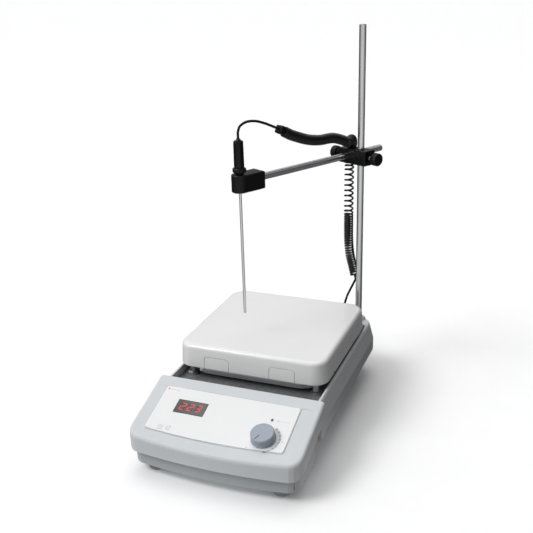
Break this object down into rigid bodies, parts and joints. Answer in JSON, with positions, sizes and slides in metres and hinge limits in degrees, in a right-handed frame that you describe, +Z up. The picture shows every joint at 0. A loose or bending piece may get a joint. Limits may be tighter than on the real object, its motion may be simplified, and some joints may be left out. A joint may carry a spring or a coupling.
{
  "type": "magnetic stirrer",
  "caption": "Heating magnetic stirrer: wedge housing with square white hot plate, digital display and knob, support rod, boss head, arm and temperature probe on a curly cord.",
  "frame": {"origin": "on the bench, under the middle of the bounding box of the whole instrument with its cord left out", "axes": "+Z up, the control panel faces -Y, +X to the right of someone facing the panel"},
  "size_m": [0.2196, 0.4102, 0.482],
  "materials": {
    "light_plastic": "fine textured light grey moulding",
    "grey_plastic": "fine textured mid grey moulding",
    "dark_deck": "dark grey coated sheet",
    "white_enamel": "white ceramic coating on cast aluminium",
    "label_white": "printed polyester membrane",
    "smoked_window": "smoked clear plastic",
    "led_red": "red lit segments",
    "knob_blue_grey": "soft matt",
    "polished_steel": "polished stainless steel",
    "sheet_steel": "bare sheet",
    "aluminium": "machined",
    "brass": "turned",
    "black_plastic": "black moulding",
    "black_metal": "black powder coat",
    "black_rubber": "black cord jacket",
    "grey_rubber": "moulded foot",
    "circuit_board": "green resist",
    "magnet": "nickel plated",
    "insulation": "ceramic fibre",
    "heater": "oxidised",
    "copper": "enamelled winding"
  },
  "bodies": {
    "base": {"upper_cover": "light_plastic", "base_pan": "grey_plastic", "foot_front_left": "grey_rubber", "foot_front_right": "grey_rubber", "foot_rear_left": "grey_rubber", "foot_rear_right": "grey_rubber", "deck_tray": "dark_deck", "hot_plate": "white_enamel", "heating_element": "heater", "insulation_pad": "insulation", "heat_shield": "sheet_steel", "plate_post_front_left": "sheet_steel", "plate_post_front_right": "sheet_steel", "plate_post_rear_left": "sheet_steel", "plate_post_rear_right": "sheet_steel", "motor_bracket": "sheet_steel", "motor": "aluminium", "power_board": "circuit_board", "transformer": "copper", "control_board": "circuit_board", "control_label": "label_white", "display_window": "smoked_window", "display_module": "led_red", "status_led": "smoked_window", "power_led": "led_red", "encoder": "sheet_steel", "mains_inlet": "black_plastic", "switch_body": "black_plastic", "probe_socket": "sheet_steel", "cord_plug": "black_plastic", "rod_socket": "polished_steel", "cord_coil_hanging": "black_rubber", "cord_tail": "black_rubber"},
    "rod": {"support_rod": "polished_steel"},
    "boss": {"boss_head": "black_metal"},
    "rod_screw_shank": {"rod_screw_stud": "polished_steel"},
    "rod_screw_grip": {"rod_screw_knob": "black_plastic"},
    "arm_screw_shank": {"arm_screw_stud": "polished_steel"},
    "arm_screw_grip": {"arm_screw_knob": "black_plastic"},
    "arm": {"cross_rod": "polished_steel", "cord_coil_upper": "black_rubber", "cord_tie": "black_plastic"},
    "holder": {"probe_holder": "black_plastic", "holder_set_screw": "polished_steel"},
    "probe": {"probe_collar": "black_plastic", "probe_handle": "black_plastic", "strain_relief": "black_rubber", "probe_sheath": "polished_steel", "cord_lead": "black_rubber"},
    "knob": {"speed_knob": "knob_blue_grey", "knob_shaft": "brass"},
    "rocker": {"power_rocker": "black_plastic"},
    "rotor": {"magnet_carrier": "aluminium", "drive_magnet_north": "magnet", "drive_magnet_south": "magnet"}
  },
  "joints": [
    {"name": "boss_swivel", "type": "hinge", "parent": "base", "child": "rod", "pos_m": [0.07823, 0.14285, 0.313], "axis": [0, 0, 1], "range_deg": [-50, 60]},
    {"name": "boss_height", "type": "slide", "parent": "rod", "child": "boss", "axis": [0, 0, 1], "range_m": [-0.022, 0.145], "deforming": ["cord_coil_hanging", "cord_tail"]},
    {"name": "arm_reach", "type": "slide", "parent": "boss", "child": "arm", "axis": [0.4571, 0.8894, 0], "range_m": [-0.04, 0.14], "deforming": ["cord_coil_upper"]},
    {"name": "holder_tilt", "type": "hinge", "parent": "arm", "child": "holder", "pos_m": [-0.01477, -0.00049, 0.313], "axis": [0.4571, 0.8894, 0], "range_deg": [-30, 30]},
    {"name": "probe_lift", "type": "slide", "parent": "holder", "child": "probe", "axis": [0, 0, 1], "range_m": [0, 0.08], "deforming": ["cord_lead"]},
    {"name": "rod_screw_advance", "type": "slide", "parent": "boss", "child": "rod_screw_shank", "axis": [0.8894, -0.4571, 0], "range_m": [0, 0.0021]},
    {"name": "rod_screw_turn", "type": "hinge", "parent": "rod_screw_shank", "child": "rod_screw_grip", "pos_m": [0.09602, 0.13371, 0.313], "axis": [0.8894, -0.4571, 0], "range_deg": [0, 720]},
    {"name": "arm_screw_advance", "type": "slide", "parent": "boss", "child": "arm_screw_shank", "axis": [-0.8894, 0.4571, 0], "range_m": [0, 0.0021]},
    {"name": "arm_screw_turn", "type": "hinge", "parent": "arm_screw_shank", "child": "arm_screw_grip", "pos_m": [0.04266, 0.16114, 0.313], "axis": [-0.8894, 0.4571, 0], "range_deg": [0, 720]},
    {"name": "knob_turn", "type": "hinge", "parent": "base", "child": "knob", "pos_m": [0.05323, -0.16969, 0.05998], "axis": [0, 0.3024, -0.9532], "range_deg": [0, 300]},
    {"name": "rocker_tilt", "type": "hinge", "parent": "base", "child": "rocker", "pos_m": [-0.02227, 0.15385, 0.056], "axis": [1, 0, 0], "range_deg": [-16, 0]},
    {"name": "rotor_spin", "type": "hinge", "parent": "base", "child": "rotor", "pos_m": [-0.00227, 0.01935, 0.066], "axis": [0, 0, 1], "continuous": true}
  ],
  "couplings": [
    {"joint": "rod_screw_advance", "follows": "rod_screw_turn", "m_per_rad": 0.00015915},
    {"joint": "arm_screw_advance", "follows": "arm_screw_turn", "m_per_rad": 0.00015915}
  ]
}
